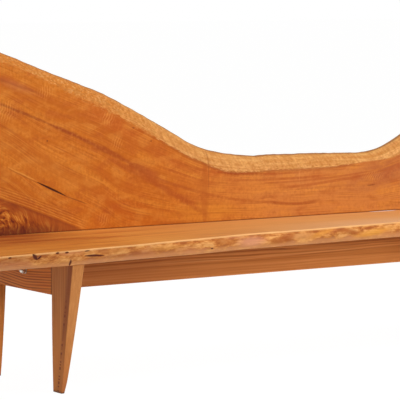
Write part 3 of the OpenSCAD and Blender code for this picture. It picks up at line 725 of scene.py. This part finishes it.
# Single marks on the front face: where each line starts and ends, its half
# width, colour and share
masks = {}
for name, line, colour, share in (
        ("pale line", (-0.854, 0.6660, -0.744, 0.6150, 0.0035), (224, 154, 68), 0.55),
        ("dark line", (-0.852, 0.6600, -0.742, 0.6090, 0.0030), (160, 84, 26), 0.6),
        # the check and its tail: a crack, darkened with painted shade inside it
        ("check", (-0.747, 0.6130, -0.640, 0.5635, 0.0052), (64, 16, 0), 1.0),
        ("check's tail", (-0.650, 0.5665, -0.560, 0.5340, 0.0028), (120, 52, 16), 0.6),
        ("upper knot", (-0.712, 0.7430, -0.706, 0.7430, 0.0045), (110, 46, 14), 0.8),
        ("right knot", (-0.320, 0.7290, -0.313, 0.7290, 0.0040), (120, 52, 18), 0.7),
        ("middle knot", (-0.390, 0.7750, -0.380, 0.7730, 0.0040), (126, 56, 20), 0.7),
        ("dash", (0.575, 0.5430, 0.610, 0.5440, 0.0024), (110, 50, 22), 0.7),
        ("broad stain", (-0.105, 0.6700, -0.105, 0.4300, 0.0220), (176, 88, 26), 0.45),
        ("faint stain", (-0.271, 0.6000, -0.271, 0.4700, 0.0024), (168, 84, 26), 0.4),
        ("pale stain", (0.283, 0.6500, 0.283, 0.5600, 0.0040), (226, 150, 80), 0.28)):
    masks[name] = times(tree, thin_mark(tree, spot, *line), front)
    face = wash(tree, face, colour, masks[name], share)
# The waney band and its dark lower line, a line of painted shade along the crest, and a line of
# painted shade along the foot, where the face stands on the seat
comb = noise(tree, stretch(tree, turned(tree, spot, 0.45), 95.0, 1.0, 26.0), 2.0)
sap = ramp(tree, grain["Streaks"], (0.36, (198, 129, 63)), (0.5, (211, 149, 82)),
           (0.62, (222, 165, 98)))
sap = wash(tree, sap, (182, 110, 48), span(tree, comb, 0.5, 0.64, 0.0, 0.36))
sap = wash(tree, sap, (232, 176, 100), span(tree, comb, 0.5, 0.36, 0.0, 0.30))
left = span(tree, x, -0.15, -0.62)
sap = wash(tree, sap, (198, 116, 34), left, 0.85)
speck = noise(tree, stretch(tree, flow, 60.0, 420.0, 1.0), 2.0)
worn = plus(tree, times(tree, left, 0.35), 0.35)
sap = wash(tree, sap, (160, 92, 34), worn, span(tree, speck, 0.48, 0.62))
blot = noise(tree, stretch(tree, flow, 14.0, 60.0, 1.0), 3.0)
sap = wash(tree, sap, (186, 120, 52), span(tree, blot, 0.48, 0.62, 0.0, 0.45))
sap = swing(tree, sap, speckled, (160, 94, 36), 1.4, (240, 188, 124), 1.4)
fuzz = plus(tree, times(tree, left, 1.1), 0.34)
line_at = plus(tree, sunk, times(tree, minus(tree, speck, 0.5), fuzz))
colour = blend(tree, span(tree, line_at, 1.05, 0.95), face, sap)
strong = times(tree, span(tree, x, -0.35, -0.10), span(tree, x, 0.56, 0.50))
strong = plus(tree, times(tree, strong, 0.35), 0.12)
colour = wash(tree, colour, (132, 56, 18), span(tree, line_at, 0.93, 1.0),
              span(tree, line_at, 1.22, 1.03), strong)
stain = thin_mark(tree, spot, -0.090, 0.780, -0.090, 0.560, 0.0042)
colour = wash(tree, colour, (146, 72, 22), stain, front, 0.45)
# painted shade: a dark line along the rounded crest
colour = wash(tree, colour, (132, 84, 48), arris, 0.7)
# painted shade: a dark line along the foot of the face, where it stands on the seat
colour = wash(tree, colour, (96, 42, 14), span(tree, z, 0.4550, 0.4515), 0.75)
rings = ringed(tree, joined(tree, z, y), 0.0045, 0.010)
butt = blend(tree, rings, tint(190, 112, 48), tint(134, 66, 24))
colour = blend(tree, times(tree, sawn, 0.8), colour, butt)
fibre = minus(tree, grain["Fibres"], 0.5)
tree.links.new(plus(tree, times(tree, fibre, 0.2), 0.52), shade.inputs["Roughness"])
relief = minus(tree, times(tree, close["Streaks"], 0.3), times(tree, masks["check"], 2.0))
surface(tree, shade, colour, relief, 0.3, 0.003)
back_plank.data.materials.append(back_wood)
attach(back_plank, "root")
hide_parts("back_slab")


# Legs: four boards of straight-grained fir, doweled to the side rails, thick
# at the top and tapered on two faces. The rear pair carries on upwards as
# posts behind the planks.
LEG_TOP = 0.400
LEG_RAKE = 0.072  # how far the front face draws in from the top to the foot
RAKE_POWER = 1.05


def eased(node, name, width):
    """A merged copy of a CAD piece with its long edges rounded. Short edges, which are those of
    its bores, stay as they are."""
    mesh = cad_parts[node].data.copy()
    mesh.name = name
    mesh.materials.clear()
    work = bmesh.new()
    work.from_mesh(mesh)
    bmesh.ops.remove_doubles(work, verts=work.verts, dist=1e-5)
    bmesh.ops.dissolve_limit(work, angle_limit=radians(0.4), verts=work.verts, edges=work.edges)
    bmesh.ops.triangulate(work, faces=[f for f in work.faces if len(f.verts) > 4])
    weight = work.edges.layers.float.new("bevel_weight_edge")
    for edge in work.edges:
        sharp = len(edge.link_faces) == 2 and edge.calc_face_angle() > radians(25)
        edge[weight] = 1.0 if sharp and edge.calc_length() > 0.006 else 0.0
    work.to_mesh(mesh)
    work.free()
    piece = bpy.data.objects.new(name, mesh)
    bpy.context.scene.collection.objects.link(piece)
    mesh.polygons.foreach_set("use_smooth", np.ones(len(mesh.polygons), bool))
    mesh.set_sharp_from_angle(angle=radians(30))
    bevel = piece.modifiers.new("soft_edges", "BEVEL")
    bevel.width = width
    bevel.segments = 3
    bevel.limit_method = "WEIGHT"
    bevel.use_clamp_overlap = False
    piece.modifiers.new("flat_faces", "WEIGHTED_NORMAL").keep_sharp = True
    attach(piece, "root")
    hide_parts(node)
    return piece


leg_wood, tree, shade, spot, (x, y, z) = oiled("leg_oiled_fir", 0.14)
grain = grained(tree, turned(tree, spot, radians(90)), 3.0, 150.0, 0.012)
colour = ramp(tree, grain["Streaks"], (0.34, (180, 106, 46)), (0.48, (196, 122, 58)),
              (0.56, (202, 129, 64)), (0.66, (214, 147, 80)))
lay = joined(tree, z, plus(tree, y, times(tree, x, 0.22)))
colour = wash(tree, colour, (130, 66, 26), ringed(tree, lay, 0.0062, 0.012), 0.55)
# painted light and shade: the legs grow lighter towards the foot and stay darker higher up, under the
# seat
colour = wash(tree, colour, (216, 134, 60), span(tree, z, 0.34, 0.06, 0.0, 0.7))
# A red band and a row of pores run beside the raked front face, which is paler
rake = times(tree, calc(tree, "POWER", calc(tree, "DIVIDE", z, LEG_TOP), RAKE_POWER), LEG_RAKE)
ridge = plus(tree, plus(tree, y, rake), FRAME_DEPTH / 2 - MIDDLE_Y - LEG_RAKE)
colour = wash(tree, colour, (142, 68, 22), span(tree, ridge, 0.040, 0.016, 0.0, 0.75),
              span(tree, z, 0.0, 0.3, 0.3, 1.0))
pore = noise(tree, stretch(tree, spot, 0.0, 0.0, 110.0), 0.0)
beside = calc(tree, "ABSOLUTE", minus(tree, ridge, 0.020))
colour = wash(tree, colour, (112, 38, 8), span(tree, beside, 0.0065, 0.002),
              span(tree, pore, 0.46, 0.56), span(tree, z, 0.34, 0.22), 0.8)
plain = ramp(tree, grain["Streaks"], (0.36, (190, 122, 66)), (0.64, (204, 138, 78)))
plain = wash(tree, plain, (178, 104, 54), span(tree, z, 0.20, 0.0, 0.0, 0.8))
colour = blend(tree, span(tree, ridge, 0.0032, 0.0012), colour, plain)
fibre = minus(tree, grain["Fibres"], 0.5)
colour = wash(tree, colour, (140, 78, 34), fibre, 1.2)
colour = wash(tree, colour, (96, 54, 28), span(tree, z, 0.010, 0.001, 0.0, 0.75))
tree.links.new(plus(tree, times(tree, fibre, 0.2), 0.5), shade.inputs["Roughness"])
surface(tree, shade, colour, grain["Fibres"], 0.25, 0.002)
for side in ("front_left", "front_right", "rear_left", "rear_right"):
    leg = eased(side + "_leg", side + "_leg_board", 0.002)
    leg.data.materials.append(leg_wood)


# Beam: one long fir board on edge with straight dark growth lines, held by a
# stud and two dowels at each end, that ties the two end frames together.
beam_wood, tree, shade, _, (x, y, z) = oiled("beam_oiled_fir", 0.14)
shade.inputs["Roughness"].default_value = 0.52
lay = joined(tree, x, plus(tree, z, times(tree, y, 0.3)), y)
grain = grained(tree, lay, 0.9, 110.0, 0.02)
colour = ramp(tree, grain["Streaks"], (0.36, (182, 106, 46)), (0.47, (194, 119, 56)),
              (0.56, (204, 128, 66)), (0.68, (214, 144, 80)))
# painted shade: darker along the top, under the seat's overhang
colour = wash(tree, colour, (142, 72, 34), span(tree, z, 0.355, 0.390, 0.0, 0.35))
far = span(tree, x, -0.70, 0.0)
# painted light: lighter along the bottom, away from the left end
colour = wash(tree, colour, (232, 156, 92), far, span(tree, z, 0.340, 0.300, 0.0, 0.15))
colour = wash(tree, colour, (150, 84, 48), span(tree, far, 1.0, 0.0, 0.0, 0.32))
colour = wash(tree, colour, (122, 54, 20), ringed(tree, lay, 0.0095, 0.022),
              span(tree, z, 0.325, 0.365, 0.15, 0.75))
surface(tree, shade, colour, grain["Fibres"], 0.25, 0.002)
beam = eased("centre_beam", "centre_beam_board", 0.0015)
beam.data.materials.append(beam_wood)


# Side rails: two short fir boards on edge, doweled between the legs of each
# end frame. Their growth lines dip round the stud that passes through them,
# and the joints with the legs show as thin dark seams of painted shade.
RAIL_HALF = 0.172
STUD_Y = 0.026
rail_wood, tree, shade, _, (x, y, z) = oiled("rail_oiled_fir", 0.14)
shade.inputs["Roughness"].default_value = 0.52
from_stud = minus(tree, y, STUD_Y)
round_it = calc(tree, "SQRT", plus(tree, times(tree, from_stud, from_stud), 0.0004))
lay = joined(tree, y, minus(tree, z, times(tree, round_it, 0.075)), x)
grain = grained(tree, lay, 1.5, 130.0, 0.02)
colour = ramp(tree, grain["Streaks"], (0.36, (202, 108, 38)), (0.47, (218, 124, 46)),
              (0.56, (224, 133, 52)), (0.68, (232, 148, 64)))
colour = wash(tree, colour, (130, 52, 14), ringed(tree, lay, 0.0085, 0.012), 0.85)
from_middle = calc(tree, "ABSOLUTE", minus(tree, y, MIDDLE_Y))
# painted shade: thin dark seams at the joints with the legs
colour = wash(tree, colour, (80, 34, 12),
              span(tree, from_middle, RAIL_HALF - 0.005, RAIL_HALF - 0.001, 0.0, 0.65))
surface(tree, shade, colour, grain["Fibres"], 0.25, 0.002)
for side in ("left", "right"):
    rail = eased(side + "_side_rail", side + "_side_rail_board", 0.0012)
    rail.data.materials.append(rail_wood)


# Dowels: plain turned hardwood pins, glued into the joints of legs and side
# rails, into the beam's ends, and between the seat and the back.
dowel_wood, tree, shade = finish_material("dowel_hardwood")
shade.inputs["Roughness"].default_value = 0.6
grain = grained(tree, put(tree, "TexCoord").outputs["Object"], 20.0, 400.0, 0.002)
tree.links.new(ramp(tree, grain["Streaks"], (0.35, (196, 158, 108)), (0.65, (222, 190, 146))),
               shade.inputs["Base Color"])
for node in ("rail_dowels", "beam_dowels", "back_dowels"):
    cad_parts[node].data.materials.clear()
    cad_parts[node].data.materials.append(dowel_wood)


# Steel and brass: bright cap nuts and washers on the beam's studs, zinc-plated
# studs, barrel nuts, screws and bolts, and the brass inserts that are screwed
# into the back, all with faint handling wear.
def metal(name, bright, dull, rough):
    """A worn metal: two tones in fine scratches, and a roughness that varies with them."""
    material, tree, shade = finish_material(name)
    shade.inputs["Metallic"].default_value = 1.0
    wear = noise(tree, put(tree, "TexCoord").outputs["Object"], 4.0, Scale=260.0)
    tree.links.new(ramp(tree, wear, (0.35, dull), (0.65, bright)), shade.inputs["Base Color"])
    tree.links.new(span(tree, wear, 0.3, 0.7, rough + 0.12, rough), shade.inputs["Roughness"])
    return material


cap_steel = metal("cap_bright_nickel", (226, 220, 210), (176, 166, 150), 0.22)
zinc_steel = metal("zinc_plate", (206, 204, 196), (160, 156, 146), 0.36)
insert_brass = metal("insert_brass", (222, 182, 104), (176, 134, 66), 0.34)
for finish, nodes in (
        (cap_steel, ("cap_nuts", "stud_washers")),
        (zinc_steel, ("beam_studs", "barrel_nuts", "seat_screws", "seat_screw_washers",
                      "back_bolts", "back_bolt_washers")),
        (insert_brass, ("back_inserts",))):
    for node in nodes:
        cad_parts[node].data.materials.clear()
        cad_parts[node].data.materials.append(finish)
